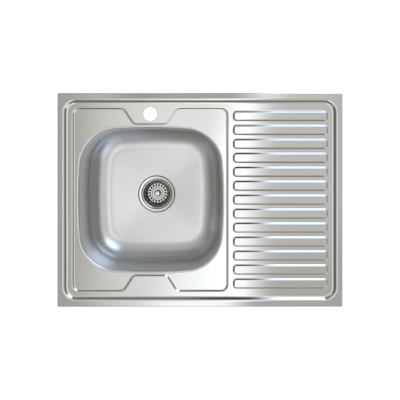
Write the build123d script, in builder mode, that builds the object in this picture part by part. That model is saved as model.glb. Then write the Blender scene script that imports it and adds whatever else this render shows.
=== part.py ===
import os
from math import atan2, cos, degrees, hypot, radians, sin, sqrt, tan

from build123d import *

os.makedirs("parts", exist_ok=True)

# All sizes are in millimetres. The origin is the middle of the front return lip, on its underside, which is
# part of the seat. The bowl is on the left, the tap ledge at the rear (+Y).

# Outline, skirt and return lips
sheet = 0.8
sink_length = 800.0
sink_width = 600.0
skirt_height = 32.0
outline_corner = 3.5
fold_radius = 3.0
hem_radius = 1.6
lip_width = 14.0
lip_corner_gap = 2.0

# Raised rim; each step is measured to the middle of its ramp
rim_side = 22.0
rim_front = 24.0
rim_drop = 6.5
rim_run = 6.5
rim_blend = 9.0
rim_corner = 31.0

# Lower field round the bowl, with one notch in the front edge and one in the rear edge
field_left = 43.0
field_front = 43.5
field_side_land = 15.5
field_drop = 3.5
field_run = 3.5
field_blend = 5.0
field_corner = 18.0
notch_mouth = 150.0
notch_floor = 94.0
notch_land = 11.5
notch_mouth_blend = 20.0
notch_floor_blend = 16.0

# Drainer pads
pad_count = 13
pad_width = 24.6
pad_gap = 18.0
pad_end_gap = 21.0
pad_front = 64.8
pad_corner = 8.0
pad_height = 3.5
pad_run = 3.2
pad_blend = 4.0

# Tap hole, in the rear notch
tap_hole_radius = 18.7
tap_hole_inset = 59.0

# Bowl: a square with bulging sides, drawn down with drafted walls; the ledge is from the outline to the bowl
ledge_depth = 98.5
bowl_side_radius = 1313.0
bowl_corner_radius = 102.0
bowl_depth = 156.0
bowl_draft = 2.0
bowl_rim_blend = 6.0
bowl_floor_blend = 48.0
weld_land = 1.0
dish_margin = 2.5
dish_drop = 7.0
recess_radius = 58.5
recess_depth = 4.0
recess_upper_blend = 3.0
recess_lower_blend = 2.0
waste_hole_radius = 45.0
seat_land = 1.0

# Sound-deadening pads under the bowl's floor
sound_pad_inner = 68.0
sound_pad_past_dish = 3.0
sound_pad_length = 200.0
sound_pad_thickness = 3.0

# Fixing brackets, which lie on the side lips and hang inside the cabinet's side panels
cabinet_panel = 16.0
panel_clearance = 0.5
bracket_sheet = 2.0
bracket_width = 40.0
bracket_reach = 13.0
bracket_hang = 30.0
bracket_bend = 3.0
bracket_station = 190.0
bracket_hole_radius = 2.25
bracket_hole_drop = 18.0

# Waste cup and its two rings
cup_sheet = 0.8
flange_radius = 56.0
flange_edge_blend = 0.3
throat_radius = 41.0
throat_blend = 6.0
cup_depth = 36.0
cup_floor_blend = 5.0
window_count = 6
window_radius = 3.4
window_circle = 14.0
ring_outer_radius = 55.0
ring_margin = 0.5
flange_seal_thickness = 2.0
body_seal_thickness = 3.0

# Waste housing below the bowl
housing_wall = 2.5
housing_gap = 2.7
housing_flange = 4.0
housing_flange_blend = 2.0
housing_depth = 42.0
housing_cone_drop = 14.0
housing_shoulder = 2.6
housing_shoulder_height = 3.0
outlet_thread_radius = 23.9
outlet_bore_radius = 20.0
outlet_length = 16.0
hub_wall = 3.0
hub_height = 18.0
rib_count = 3
rib_thickness = 3.0
rib_height = 7.5
rib_below_hub_top = 4.0

# Hollow clamp screw, its washer and the brass insert it is screwed into
screw_radius = 5.0
screw_head_radius = 7.5
screw_head_height = 2.5
screw_length = 14.0
thread_gap = 0.05
washer_radius = 9.2
washer_thickness = 1.0
insert_wall = 1.5
insert_length = 14.0
insert_gap = 0.05

# Basket
basket_sheet = 0.7
basket_gap = 1.3
basket_rim_width = 1.5
basket_rim_blend = 0.9
basket_height = 23.0
basket_ring_radius = 31.0
basket_ring_blend = 3.0
basket_hub_radius = 18.5
basket_hub_taper = 1.5
basket_hub_height = 3.0
basket_hub_blend = 1.2
slot_count = 18
slot_width = 3.0
slot_length = 6.8
slot_circle = 25.2

# Stem, knob, stopper and the small rings on the stem
stem_radius = 3.0
stem_slide_gap = 0.3
stem_spin_gap = 0.05
stem_press_gap = 0.02
stem_end_depth = 17.0
stem_chamfer = 0.6
knob_radius = 6.8
knob_neck_radius = 4.4
knob_neck_height = 3.5
knob_height = 11.0
knob_blend = 2.0
knob_socket_depth = 7.0
knob_play = 0.3
stopper_headroom = 1.2
stopper_web = 3.0
stopper_lip_radius = 20.0
stopper_lip_width = 2.4
stopper_lip_height = 1.5
stopper_hollow_radius = 12.0
stopper_hub_gap = 0.8
stopper_flare_height = 6.0
stopper_blend = 0.8
stopper_washer_radius = 14.0
stopper_washer_thickness = 1.2
clip_radius = 5.2
clip_thickness = 0.8
clip_groove_depth = 0.5
o_ring_section = 1.4
o_ring_squeeze_gap = 0.05
o_ring_groove_play = 0.15
o_ring_height = 4.0

# Heights and places that follow from these sizes
rim_z = skirt_height
deck_z = rim_z - rim_drop
field_z = deck_z - field_drop
floor_z = field_z - bowl_depth
recess_z = floor_z - dish_drop - recess_depth
seat_radius = recess_radius + recess_upper_blend + seat_land
flange_z = recess_z + flange_seal_thickness + cup_sheet
cup_floor_z = flange_z - cup_depth
housing_z = recess_z - sheet - body_seal_thickness
hub_z = cup_floor_z - cup_sheet
screw_seat_z = cup_floor_z + washer_thickness
screw_top_z = screw_seat_z + screw_head_height
stopper_web_z = screw_top_z + stopper_headroom
stopper_top_z = stopper_web_z + stopper_web
basket_seat_z = stopper_top_z + stopper_washer_thickness
basket_hub_z = basket_seat_z + basket_sheet
basket_ring_z = basket_hub_z - basket_hub_height
basket_rim_z = basket_ring_z + basket_height
knob_z = basket_hub_z + knob_play
middle_y = (sink_width - lip_width) / 2
bowl_size = sink_width - 2 * ledge_depth
field_length = bowl_size + 2 * field_side_land
field_width = sink_width - 2 * field_front
notch_depth = (field_width - bowl_size) / 2 - notch_land
bowl_x = field_left + field_length / 2 - sink_length / 2
floor_inset = bowl_depth * tan(radians(bowl_draft)) + bowl_floor_blend * tan(radians(90 - bowl_draft) / 2)
dish_radius = bowl_size / 2 - floor_inset - dish_margin
sound_pad_width = dish_radius + sound_pad_past_dish - sound_pad_inner
pads_left_x = field_left + field_length - sink_length / 2 + pad_gap
pad_length = sink_length / 2 - rim_side - pad_end_gap - pads_left_x
pad_pitch = (sink_width - 2 * pad_front) / (pad_count - 1)
tap_hole_y = middle_y + sink_width / 2 - tap_hole_inset
bowl_axis = Axis((bowl_x, middle_y, 0), (0, 0, 1))
bowl_section = Plane((bowl_x, middle_y, 0), x_dir=(1, 0, 0), z_dir=(0, -1, 0))


def at_outline(height):
    return Plane((0, middle_y, height))


def at_bowl(height):
    return Plane((bowl_x, middle_y, height))


def ramp_taper(run, drop):
    return degrees(atan2(run, drop))


def ramp_lag(run, drop, skin):
    """Sideways distance between a ramp and the same ramp on the sheet's other face."""
    return skin * tan(atan2(drop, run) / 2)


def level_faces(block):
    return block.faces().filter_by(Axis.Z).sort_by(Axis.Z, reverse=True)


def field_outline(growth):
    """The notched outline of the lower field, moved outwards by growth."""
    half_length = field_length / 2
    half_width = field_width / 2
    mouth = notch_mouth / 2
    floor = notch_floor / 2
    inner = half_width - notch_depth
    front_points = [
        (-half_length, -half_width),
        (-mouth, -half_width),
        (-floor, -inner),
        (floor, -inner),
        (mouth, -half_width),
        (half_length, -half_width),
    ]
    front_radii = [
        field_corner,
        notch_mouth_blend,
        notch_floor_blend,
        notch_floor_blend,
        notch_mouth_blend,
        field_corner,
    ]
    rear_points = [(-x, -y) for x, y in front_points]
    with BuildSketch() as outline:
        with BuildLine():
            FilletPolyline(*front_points, *rear_points, radius=front_radii * 2, close=True)
        make_face()
        offset(amount=growth, mode=Mode.REPLACE)
    return outline.sketch


def bowl_outline(growth):
    """The bowl's outline, four side arcs and four corner arcs, moved outwards by growth."""
    half = bowl_size / 2 + growth
    side = bowl_side_radius + growth
    corner = bowl_corner_radius + growth
    centre_gap = side - half
    corner_centre = (sqrt(2 * (side - corner) ** 2 - centre_gap**2) - centre_gap) / 2
    reach = hypot(corner_centre, corner_centre + centre_gap)
    touch_x = side * corner_centre / reach
    touch_y = side * (corner_centre + centre_gap) / reach - centre_gap
    corner_tip = corner_centre + corner / sqrt(2)
    side_arc = [(-touch_x, touch_y), (0, half), (touch_x, touch_y)]
    quarter = side_arc + [(corner_tip, corner_tip), (touch_y, touch_x)]
    with BuildSketch() as outline:
        with BuildLine():
            for turn in range(4):
                across = round(cos(radians(90 * turn)))
                along = round(sin(radians(90 * turn)))
                points = [(x * across + y * along, y * across - x * along) for x, y in quarter]
                ThreePointArc(points[0], points[1], points[2])
                ThreePointArc(points[2], points[3], points[4])
        make_face()
    return outline.sketch


def sheet_section(points, radii, thickness):
    """A bent sheet's section; the points are its upper face, from right to left.

    The lower face is the same line moved by the thickness, and each bend keeps that thickness.
    """
    normals = []
    for start, end in zip(points, points[1:]):
        length = hypot(end[0] - start[0], end[1] - start[1])
        normals.append((-(end[1] - start[1]) / length, (end[0] - start[0]) / length))
    lower = [(points[0][0] + normals[0][0] * thickness, points[0][1] + normals[0][1] * thickness)]
    lower_radii = []
    for index, radius in enumerate(radii):
        before = normals[index]
        after = normals[index + 1]
        scale = thickness / (1 + before[0] * after[0] + before[1] * after[1])
        corner = points[index + 1]
        lower.append((corner[0] + (before[0] + after[0]) * scale, corner[1] + (before[1] + after[1]) * scale))
        turn = before[0] * after[1] - before[1] * after[0]
        lower_radii.append(radius - thickness if turn > 0 else radius + thickness)
    lower.append((points[-1][0] + normals[-1][0] * thickness, points[-1][1] + normals[-1][1] * thickness))
    all_radii = [0] + radii + [0, 0] + lower_radii[::-1] + [0]
    with BuildSketch() as section:
        with BuildLine():
            FilletPolyline(*points, *lower[::-1], radius=all_radii, close=True)
        make_face()
    return section.sketch


def pressed_block(skin):
    """Solid below the pressed top: the whole form with its outer faces moved inwards by skin."""
    with BuildPart() as block:
        with BuildSketch(at_outline(skin)):
            RectangleRounded(sink_length - 2 * skin, sink_width - 2 * skin, outline_corner - skin)
        extrude(amount=skirt_height - 2 * skin)
        fillet(level_faces(block)[0].edges(), fold_radius - skin)
        fillet(level_faces(block)[-1].edges(), hem_radius - skin)

        # the step from the rim down to the deck
        growth = rim_run / 2 + ramp_lag(rim_run, rim_drop, skin)
        with BuildSketch(at_outline(rim_z - skin)):
            RectangleRounded(
                sink_length - 2 * rim_side + 2 * growth,
                sink_width - 2 * rim_front + 2 * growth,
                rim_corner + growth,
            )
        extrude(amount=-rim_drop, taper=ramp_taper(rim_run, rim_drop), mode=Mode.SUBTRACT)
        fillet(level_faces(block)[0].inner_wires()[0].edges(), rim_blend - skin)
        fillet(level_faces(block)[1].outer_wire().edges(), rim_blend + skin)

        # the step from the deck down to the field round the bowl
        growth = field_run / 2 + ramp_lag(field_run, field_drop, skin)
        step_outline = field_outline(growth)
        with BuildSketch(at_bowl(deck_z - skin)):
            add(step_outline)
        extrude(amount=-field_drop, taper=ramp_taper(field_run, field_drop), mode=Mode.SUBTRACT)
        fillet(level_faces(block)[1].inner_wires()[0].edges(), field_blend - skin)
        fillet(level_faces(block)[2].outer_wire().edges(), field_blend + skin)

        # the drainer pads
        growth = pad_run / 2 - ramp_lag(pad_run, pad_height, skin)
        with BuildSketch(Plane((pads_left_x + pad_length / 2, middle_y, deck_z - skin))):
            with GridLocations(0, pad_pitch, 1, pad_count):
                RectangleRounded(pad_length + 2 * growth, pad_width + 2 * growth, pad_corner + growth)
        extrude(amount=pad_height, taper=ramp_taper(pad_run, pad_height))
        pad_tops = block.faces().filter_by(Axis.Z).filter_by_position(
            Axis.Z, deck_z + pad_height - skin - sheet / 10, deck_z + pad_height - skin + sheet / 10
        )
        fillet([edge for face in pad_tops for edge in face.edges()], pad_blend - skin)
        deck_face = block.faces().filter_by(Axis.Z).filter_by_position(
            Axis.Z, deck_z - skin - sheet / 10, deck_z - skin + sheet / 10
        )[0]
        pad_feet = deck_face.inner_wires().sort_by(SortBy.LENGTH)[:pad_count]
        fillet([edge for wire in pad_feet for edge in wire.edges()], pad_blend + skin)
    return block.part


def bowl_cavity(skin):
    """The bowl's hollow, with its faces moved outwards by skin."""
    mouth_outline = bowl_outline(skin / cos(radians(bowl_draft)))
    with BuildPart() as cavity:
        with BuildSketch(at_bowl(field_z)):
            add(mouth_outline)
        extrude(amount=-(bowl_depth + skin), taper=bowl_draft)
        fillet(level_faces(cavity)[-1].edges(), bowl_floor_blend + skin)
        dish_z = floor_z - dish_drop
        with BuildSketch(bowl_section):
            with BuildLine():
                FilletPolyline(
                    (0, floor_z - skin),
                    (dish_radius, floor_z - skin),
                    (recess_radius + skin, dish_z - skin),
                    (recess_radius + skin, recess_z - skin),
                    (0, recess_z - skin),
                    radius=[0, 0, recess_upper_blend - skin, recess_lower_blend + skin, 0],
                    close=True,
                )
            make_face()
        revolve(axis=bowl_axis)
    return cavity.part


def bowl_block(skin, cavity):
    """Solid round the bowl's hollow, out to the weld line, with the rounded rim."""
    with BuildPart() as block:
        with BuildSketch(at_bowl(recess_z - 2 * recess_depth)):
            add(weld_outline)
        extrude(amount=field_z - skin - recess_z + 2 * recess_depth)
        add(cavity, mode=Mode.SUBTRACT)
        fillet(level_faces(block)[0].inner_wires()[0].edges(), bowl_rim_blend - skin)
    return block.part


weld_outline = bowl_outline(bowl_rim_blend * tan(radians(90 - bowl_draft) / 2) + weld_land)

# Deck: the pressed sheet with its skirt, return lips and holes
deck_outside = pressed_block(0)
deck_inside = pressed_block(sheet)
with BuildPart() as deck:
    add(deck_outside)
    add(deck_inside, mode=Mode.SUBTRACT)
    with BuildSketch(at_outline(0)):
        Rectangle(sink_length - 2 * lip_width, sink_width - 2 * lip_width)
        corner_cut = lip_width + lip_corner_gap - hem_radius
        corner_reach = 2 * hem_radius + corner_cut
        with GridLocations(sink_length - corner_reach, sink_width - corner_reach, 2, 2):
            Rectangle(corner_cut, corner_cut)
    extrude(amount=hem_radius, mode=Mode.SUBTRACT)
    with BuildSketch(at_bowl(field_z)):
        add(weld_outline)
    extrude(amount=-2 * sheet, mode=Mode.SUBTRACT)
    with BuildSketch(Plane((bowl_x, tap_hole_y, deck_z))):
        Circle(tap_hole_radius)
    extrude(amount=-2 * sheet, mode=Mode.SUBTRACT)
deck.part.label = "deck"
export_step(deck.part, "parts/deck.step")

# Bowl, butt-welded to the deck along its rim; its floor ends at the seat of the waste
cavity_inside = bowl_cavity(0)
cavity_outside = bowl_cavity(sheet)
bowl_upper = bowl_block(0, cavity_inside)
bowl_lower = bowl_block(sheet, cavity_outside)
seat_height = floor_z - recess_z + 2 * sheet
with BuildPart() as bowl:
    add(bowl_upper)
    add(bowl_lower, mode=Mode.SUBTRACT)
    with BuildSketch(at_bowl(recess_z - 2 * sheet)):
        Circle(seat_radius)
    extrude(amount=seat_height, mode=Mode.SUBTRACT)
bowl.part.label = "bowl"
export_step(bowl.part, "parts/bowl.step")

# Waste seat: the round recess in the bowl's floor, with the waste hole
with BuildPart() as waste_seat:
    add(bowl_upper)
    add(bowl_lower, mode=Mode.SUBTRACT)
    with BuildSketch(at_bowl(recess_z - 2 * sheet)):
        Circle(seat_radius)
        Circle(waste_hole_radius, mode=Mode.SUBTRACT)
    extrude(amount=seat_height, mode=Mode.INTERSECT)
waste_seat.part.label = "waste_seat"
export_step(waste_seat.part, "parts/waste_seat.step")

# Sound-deadening pads, which follow the underside of the bowl's floor
sound_pad_z = floor_z - sheet - dish_drop - sound_pad_thickness
cavity_lowered = cavity_outside.moved(Location((0, 0, -sound_pad_thickness)))
for pad_name, pad_side in (("sound_pad_left", -1), ("sound_pad_right", 1)):
    with BuildPart() as sound_pad:
        pad_x = bowl_x + pad_side * (sound_pad_inner + sound_pad_width / 2)
        with BuildSketch(Plane((pad_x, middle_y, sound_pad_z))):
            Rectangle(sound_pad_width, sound_pad_length)
        extrude(amount=floor_z - sound_pad_z)
        add(cavity_lowered, mode=Mode.INTERSECT)
        add(cavity_outside, mode=Mode.SUBTRACT)
    sound_pad.part.label = pad_name
    export_step(sound_pad.part, "parts/" + pad_name + ".step")

# Fixing brackets: one leg on the return lip, one leg beside the cabinet's panel
bracket_names = (
    ("bracket_front_left", -1, -1),
    ("bracket_rear_left", -1, 1),
    ("bracket_front_right", 1, -1),
    ("bracket_rear_right", 1, 1),
)
leg_x = sink_length / 2 - cabinet_panel - panel_clearance
bracket_points = [
    (leg_x + bracket_reach, sheet + bracket_sheet),
    (leg_x - bracket_sheet, sheet + bracket_sheet),
    (leg_x - bracket_sheet, -bracket_hang),
]
bracket_bent = sheet_section(bracket_points, [bracket_bend], bracket_sheet)
for bracket_name, bracket_side, bracket_end in bracket_names:
    bracket_y = middle_y + bracket_end * bracket_station
    with BuildPart() as bracket:
        bracket_plane = Plane((0, bracket_y, 0), x_dir=(bracket_side, 0, 0), z_dir=(0, -bracket_side, 0))
        with BuildSketch(bracket_plane):
            add(bracket_bent)
        extrude(amount=bracket_width / 2, both=True)
        hole_plane = Plane((bracket_side * leg_x, bracket_y, -bracket_hole_drop), z_dir=(bracket_side, 0, 0))
        with BuildSketch(hole_plane):
            Circle(bracket_hole_radius)
        extrude(amount=2 * bracket_sheet, both=True, mode=Mode.SUBTRACT)
    bracket.part.label = bracket_name
    export_step(bracket.part, "parts/" + bracket_name + ".step")

# Waste cup: flange, throat and a floor with windows
cup_points = [
    (flange_radius, flange_z),
    (throat_radius, flange_z),
    (throat_radius, cup_floor_z),
    (screw_radius + thread_gap, cup_floor_z),
]
cup_section = sheet_section(cup_points, [throat_blend, cup_floor_blend], cup_sheet)
with BuildPart() as waste_cup:
    with BuildSketch(bowl_section):
        add(cup_section)
    revolve(axis=bowl_axis)
    fillet(waste_cup.edges().filter_by(GeomType.CIRCLE).sort_by(SortBy.RADIUS)[-2:], flange_edge_blend)
    with BuildSketch(at_bowl(cup_floor_z)):
        with PolarLocations(window_circle, window_count):
            Circle(window_radius)
    extrude(amount=-2 * cup_sheet, mode=Mode.SUBTRACT)
waste_cup.part.label = "waste_cup"
export_step(waste_cup.part, "parts/waste_cup.step")

# Rubber rings above and below the floor of the recess
ring_inner_radius = throat_radius + throat_blend + ring_margin
with BuildPart() as flange_seal:
    with BuildSketch(at_bowl(recess_z)):
        Circle(ring_outer_radius)
        Circle(ring_inner_radius, mode=Mode.SUBTRACT)
    extrude(amount=flange_seal_thickness)
flange_seal.part.label = "flange_seal"
export_step(flange_seal.part, "parts/flange_seal.step")

with BuildPart() as body_seal:
    with BuildSketch(at_bowl(housing_z)):
        Circle(ring_outer_radius)
        Circle(ring_inner_radius, mode=Mode.SUBTRACT)
    extrude(amount=body_seal_thickness)
body_seal.part.label = "body_seal"
export_step(body_seal.part, "parts/body_seal.step")

# Waste housing: flange, round body, and a hub on ribs
housing_bore = throat_radius + cup_sheet + housing_gap
housing_radius = housing_bore + housing_wall
shoulder_radius = outlet_thread_radius + housing_shoulder
cone_z = housing_z - housing_depth
shoulder_z = cone_z - housing_cone_drop
outlet_top_z = shoulder_z - housing_shoulder_height
outlet_end_z = outlet_top_z - outlet_length
hub_bore = screw_radius + thread_gap + insert_wall + insert_gap
with BuildPart() as waste_housing:
    with BuildSketch(bowl_section):
        with BuildLine():
            FilletPolyline(
                (housing_bore, housing_z),
                (flange_radius, housing_z),
                (flange_radius, housing_z - housing_flange),
                (housing_radius, housing_z - housing_flange),
                (housing_radius, cone_z),
                (housing_bore, cone_z),
                radius=[0, 0, 0, housing_flange_blend, 0, 0],
                close=True,
            )
        make_face()
    revolve(axis=bowl_axis)
    with BuildSketch(at_bowl(hub_z)):
        Circle(hub_bore + hub_wall)
    extrude(amount=-hub_height)
    with BuildSketch(at_bowl(hub_z - rib_below_hub_top)):
        rib_length = housing_bore + housing_wall / 2
        with PolarLocations(rib_length / 2, rib_count):
            Rectangle(rib_length, rib_thickness)
    extrude(amount=-rib_height)
    with BuildSketch(at_bowl(hub_z)):
        Circle(hub_bore)
    extrude(amount=-hub_height, mode=Mode.SUBTRACT)
waste_housing.part.label = "waste_housing"
export_step(waste_housing.part, "parts/waste_housing.step")

# Outlet spigot, welded under the housing: a cone, a shoulder and the outlet thread
with BuildPart() as outlet_spigot:
    with BuildSketch(bowl_section):
        with BuildLine():
            Polyline(
                (housing_bore, cone_z),
                (housing_radius, cone_z),
                (shoulder_radius, shoulder_z),
                (shoulder_radius, outlet_top_z),
                (outlet_thread_radius, outlet_top_z),
                (outlet_thread_radius, outlet_end_z),
                (outlet_bore_radius, outlet_end_z),
                (outlet_bore_radius, shoulder_z),
                close=True,
            )
        make_face()
    revolve(axis=bowl_axis)
outlet_spigot.part.label = "outlet_spigot"
export_step(outlet_spigot.part, "parts/outlet_spigot.step")

# Brass insert in the hub, the hollow screw and its washer
with BuildPart() as housing_insert:
    with BuildSketch(at_bowl(hub_z)):
        Circle(hub_bore - insert_gap)
        Circle(screw_radius + thread_gap, mode=Mode.SUBTRACT)
    extrude(amount=-insert_length)
housing_insert.part.label = "housing_insert"
export_step(housing_insert.part, "parts/housing_insert.step")

with BuildPart() as clamp_screw:
    with BuildSketch(at_bowl(screw_seat_z)):
        Circle(screw_head_radius)
    extrude(amount=screw_head_height)
    with BuildSketch(at_bowl(screw_seat_z)):
        Circle(screw_radius)
    extrude(amount=-screw_length)
    with BuildSketch(at_bowl(screw_top_z)):
        Circle(stem_radius + stem_slide_gap)
    extrude(amount=-(screw_head_height + screw_length), mode=Mode.SUBTRACT)
clamp_screw.part.label = "clamp_screw"
export_step(clamp_screw.part, "parts/clamp_screw.step")

with BuildPart() as screw_washer:
    with BuildSketch(at_bowl(cup_floor_z)):
        Circle(washer_radius)
        Circle(screw_radius + thread_gap, mode=Mode.SUBTRACT)
    extrude(amount=washer_thickness)
screw_washer.part.label = "screw_washer"
export_step(screw_washer.part, "parts/screw_washer.step")

# Basket: rolled rim, conical wall, slotted ring and a raised hub
basket_radius = throat_radius - basket_gap
basket_points = [
    (basket_radius, basket_rim_z),
    (basket_radius - basket_rim_width, basket_rim_z),
    (basket_ring_radius, basket_ring_z),
    (basket_hub_radius, basket_ring_z),
    (basket_hub_radius - basket_hub_taper, basket_hub_z),
    (stem_radius + stem_spin_gap, basket_hub_z),
]
basket_radii = [basket_rim_blend, basket_ring_blend, basket_hub_blend, basket_hub_blend]
basket_pressed = sheet_section(basket_points, basket_radii, basket_sheet)
with BuildPart() as basket:
    with BuildSketch(bowl_section):
        add(basket_pressed)
    revolve(axis=bowl_axis)
    with BuildSketch(at_bowl(basket_ring_z)):
        with PolarLocations(slot_circle, slot_count):
            SlotOverall(slot_length, slot_width)
    extrude(amount=2 * basket_sheet, both=True, mode=Mode.SUBTRACT)
basket.part.label = "basket"
export_step(basket.part, "parts/basket.step")

# Stem with grooves for the clip and the O-ring
stem_end_z = screw_top_z - stem_end_depth
clip_z = stopper_web_z - clip_thickness
clip_groove_radius = stem_radius - clip_groove_depth
o_ring_reach = stem_radius + stem_slide_gap - o_ring_squeeze_gap
o_ring_groove_radius = o_ring_reach - o_ring_section - o_ring_squeeze_gap
o_ring_z = stem_end_z + o_ring_height
o_ring_groove_width = o_ring_section + 2 * o_ring_groove_play
with BuildPart() as basket_stem:
    with BuildSketch(at_bowl(stem_end_z)):
        Circle(stem_radius)
    extrude(amount=knob_z + knob_socket_depth - stem_end_z)
    chamfer(level_faces(basket_stem)[-1].edges(), stem_chamfer)
    with BuildSketch(at_bowl(clip_z)):
        Circle(2 * stem_radius)
        Circle(clip_groove_radius, mode=Mode.SUBTRACT)
    extrude(amount=clip_thickness, mode=Mode.SUBTRACT)
    with BuildSketch(at_bowl(o_ring_z)):
        Circle(2 * stem_radius)
        Circle(o_ring_groove_radius, mode=Mode.SUBTRACT)
    extrude(amount=o_ring_groove_width / 2, both=True, mode=Mode.SUBTRACT)
basket_stem.part.label = "basket_stem"
export_step(basket_stem.part, "parts/basket_stem.step")

with BuildPart() as basket_knob:
    with BuildSketch(bowl_section):
        with BuildLine():
            FilletPolyline(
                (stem_radius + stem_press_gap, knob_z),
                (knob_neck_radius, knob_z),
                (knob_neck_radius, knob_z + knob_neck_height),
                (knob_radius, knob_z + knob_neck_height + knob_radius - knob_neck_radius),
                (knob_radius, knob_z + knob_height),
                (0, knob_z + knob_height),
                (0, knob_z + knob_socket_depth),
                (stem_radius + stem_press_gap, knob_z + knob_socket_depth),
                radius=[0, 0, knob_blend, knob_blend / 2, knob_blend, 0, 0, 0],
                close=True,
            )
        make_face()
    revolve(axis=bowl_axis)
basket_knob.part.label = "basket_knob"
export_step(basket_knob.part, "parts/basket_knob.step")

# Rubber stopper: a disc on the stem with a lip that covers the cup's windows
stopper_top_radius = basket_hub_radius - basket_hub_taper - basket_sheet - stopper_hub_gap
with BuildPart() as stopper:
    with BuildSketch(bowl_section):
        with BuildLine():
            FilletPolyline(
                (stem_radius + stem_press_gap, stopper_top_z),
                (stem_radius + stem_press_gap, stopper_web_z),
                (stopper_hollow_radius, stopper_web_z),
                (stopper_lip_radius - stopper_lip_width, cup_floor_z),
                (stopper_lip_radius, cup_floor_z),
                (stopper_lip_radius, cup_floor_z + stopper_lip_height),
                (stopper_top_radius, cup_floor_z + stopper_flare_height),
                (stopper_top_radius, stopper_top_z),
                radius=[0, 0, stopper_blend, 0, 0, stopper_blend, stopper_blend, stopper_blend],
                close=True,
            )
        make_face()
    revolve(axis=bowl_axis)
stopper.part.label = "stopper"
export_step(stopper.part, "parts/stopper.step")

with BuildPart() as stopper_washer:
    with BuildSketch(at_bowl(stopper_top_z)):
        Circle(stopper_washer_radius)
        Circle(stem_radius + stem_press_gap, mode=Mode.SUBTRACT)
    extrude(amount=stopper_washer_thickness)
stopper_washer.part.label = "stopper_washer"
export_step(stopper_washer.part, "parts/stopper_washer.step")

with BuildPart() as stem_clip:
    with BuildSketch(at_bowl(clip_z)):
        Circle(clip_radius)
        Circle(clip_groove_radius + stem_press_gap, mode=Mode.SUBTRACT)
        with Locations((clip_radius, 0)):
            Rectangle(2 * clip_radius, 2 * clip_groove_radius, mode=Mode.SUBTRACT)
    extrude(amount=clip_thickness)
stem_clip.part.label = "stem_clip"
export_step(stem_clip.part, "parts/stem_clip.step")

with BuildPart() as stem_o_ring:
    with BuildSketch(bowl_section):
        with Locations((o_ring_reach - o_ring_section / 2, o_ring_z)):
            Circle(o_ring_section / 2)
    revolve(axis=bowl_axis)
stem_o_ring.part.label = "stem_o_ring"
export_step(stem_o_ring.part, "parts/stem_o_ring.step")
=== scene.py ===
import math

import bpy
import numpy as np
from mathutils.geometry import delaunay_2d_cdt
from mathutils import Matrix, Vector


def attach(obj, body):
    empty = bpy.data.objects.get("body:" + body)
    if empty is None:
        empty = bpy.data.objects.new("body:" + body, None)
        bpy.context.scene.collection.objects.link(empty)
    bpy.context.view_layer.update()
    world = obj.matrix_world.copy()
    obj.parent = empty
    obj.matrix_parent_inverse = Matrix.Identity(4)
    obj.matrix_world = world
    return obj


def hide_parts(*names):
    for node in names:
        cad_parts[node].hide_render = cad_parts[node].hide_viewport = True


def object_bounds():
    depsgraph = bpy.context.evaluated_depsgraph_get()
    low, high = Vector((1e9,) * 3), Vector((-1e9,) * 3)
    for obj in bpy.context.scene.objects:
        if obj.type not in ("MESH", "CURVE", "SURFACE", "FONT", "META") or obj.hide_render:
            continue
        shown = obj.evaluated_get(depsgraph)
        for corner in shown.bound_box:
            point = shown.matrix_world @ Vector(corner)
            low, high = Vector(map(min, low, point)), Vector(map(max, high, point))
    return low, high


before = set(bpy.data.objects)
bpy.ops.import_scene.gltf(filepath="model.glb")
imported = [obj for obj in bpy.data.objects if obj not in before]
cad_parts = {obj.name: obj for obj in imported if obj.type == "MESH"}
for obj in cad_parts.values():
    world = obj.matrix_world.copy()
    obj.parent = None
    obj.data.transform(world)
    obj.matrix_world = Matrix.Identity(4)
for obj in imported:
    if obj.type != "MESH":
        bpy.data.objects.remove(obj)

cadBox = [list(corner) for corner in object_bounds()]
print("stage: frame loaded")

mm = 0.001
bowlX = -140.0  # middle of the bowl, from the middle of the outline
middleY = 293.0  # from the origin on the front lip to the middle of the outline


# Meshes: points are gathered in millimetres as index loops, then joined by strips and flat fills

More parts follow.
